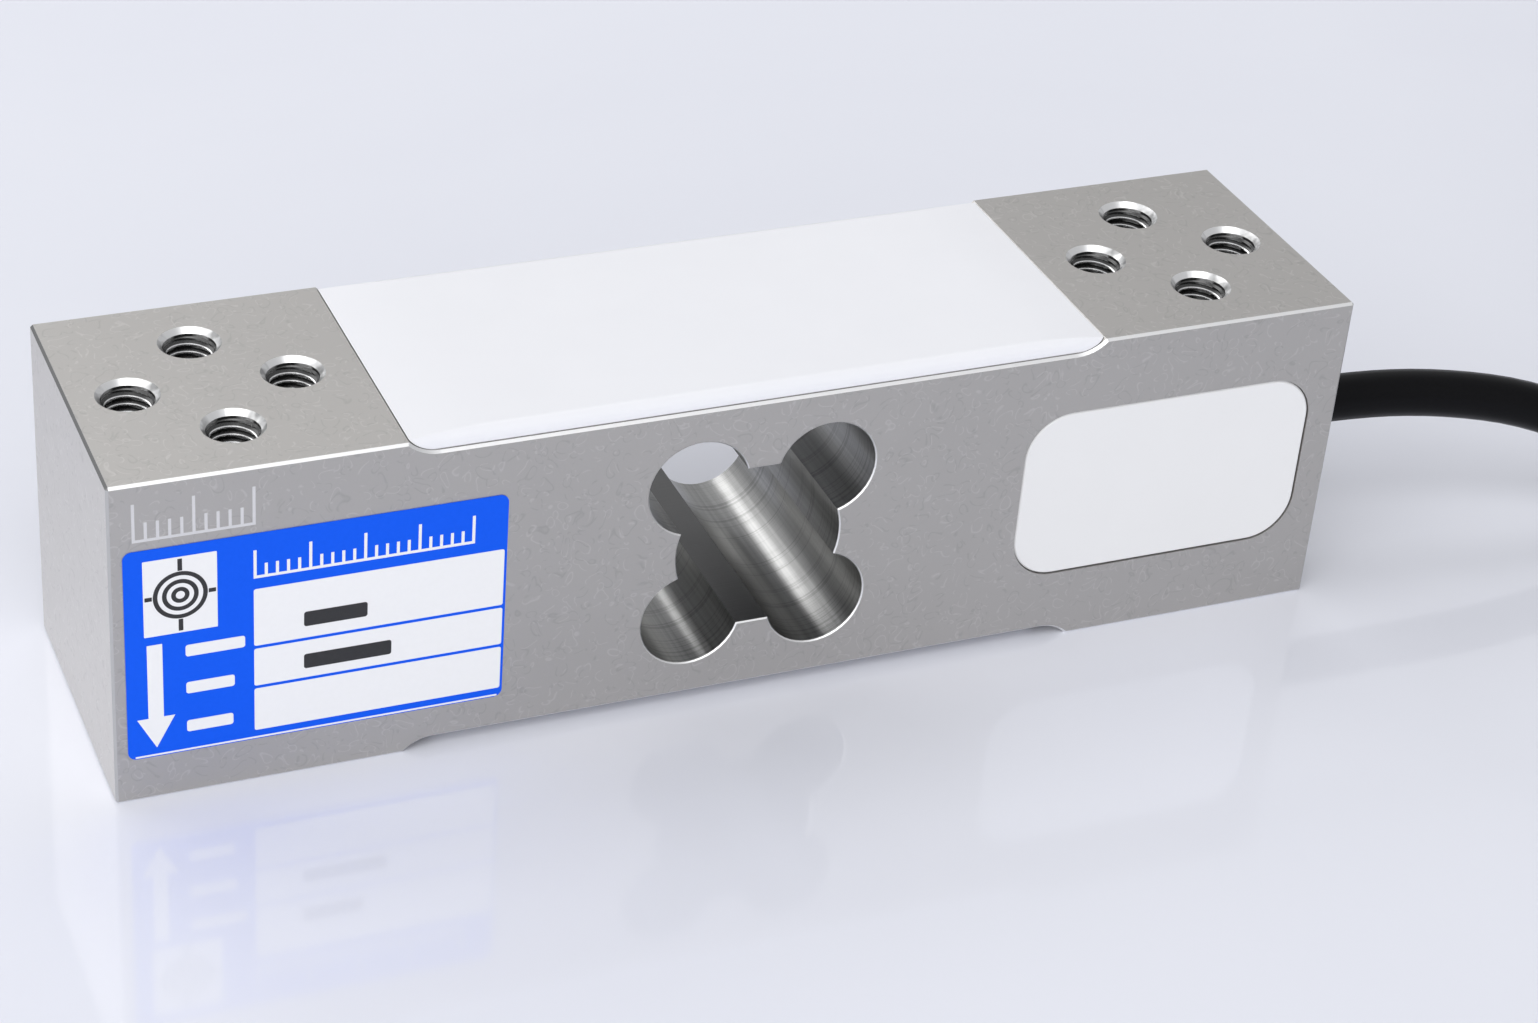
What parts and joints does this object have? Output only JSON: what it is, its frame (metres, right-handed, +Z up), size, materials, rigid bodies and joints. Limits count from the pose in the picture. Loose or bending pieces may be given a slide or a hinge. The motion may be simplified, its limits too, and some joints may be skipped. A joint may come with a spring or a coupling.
{
  "type": "single point load cell",
  "caption": "Milled aluminium bending beam with a lobed window, white gauge covers, threaded mounting holes at both ends and a sealed cable.",
  "frame": {"origin": "centre of the beam's bottom face", "axes": "+X along the beam to the cable end, -Y the front face with the pocket cover and label, +Z up"},
  "size_m": [0.3346, 0.0556, 0.0413],
  "materials": {
    "beam_aluminium": "satin, finely blasted and clear anodised",
    "cover_white": "smooth, soft sheen",
    "label_film": "printed film, satin",
    "cable_jacket": "extruded jacket, satin",
    "seal_rubber": "moulded, matte",
    "crimp_steel": "turned",
    "gauge_film": "amber film with etched foil",
    "terminal_copper": "tinned copper pads on film",
    "jumper_copper": "bare enamelled copper",
    "lead_insulation": "thin insulation",
    "board_laminate": "solder mask",
    "resistor_enamel": "dipped enamel",
    "core_red": "smooth insulation",
    "core_green": "smooth insulation",
    "core_white": "smooth insulation",
    "core_black": "smooth insulation",
    "tinned_copper": "tinned strands",
    "sleeve_polymer": "shrunk tube, satin",
    "tie_nylon": "moulded nylon"
  },
  "bodies": {
    "root": {"sensor_body": "beam_aluminium", "top_gauge_cover": "cover_white", "bottom_gauge_cover": "cover_white", "pocket_cover": "cover_white", "type_label": "label_film", "top_gauge_load_end": "gauge_film", "top_gauge_cable_end": "gauge_film", "bottom_gauge_load_end": "gauge_film", "bottom_gauge_cable_end": "gauge_film", "top_terminal_strip": "terminal_copper", "bottom_terminal_strip": "terminal_copper", "top_jumper_wires": "jumper_copper", "bottom_jumper_wires": "jumper_copper", "top_lead_wires": "lead_insulation", "bottom_lead_wires": "lead_insulation", "circuit_board": "board_laminate", "span_resistor": "resistor_enamel", "zero_resistor": "resistor_enamel", "temperature_resistor": "resistor_enamel", "inner_core_red": "core_red", "inner_core_green": "core_green", "inner_core_white": "core_white", "inner_core_black": "core_black", "crimp_ring": "crimp_steel", "cable_seal": "seal_rubber", "cable_run": "cable_jacket", "cable_hank": "cable_jacket", "hank_tie_front": "tie_nylon", "hank_tie_back": "tie_nylon", "end_sleeve": "sleeve_polymer", "core_red": "core_red", "core_green": "core_green", "core_white": "core_white", "core_black": "core_black", "screen_drain": "tinned_copper", "core_tips": "tinned_copper"}
  },
  "joints": []
}
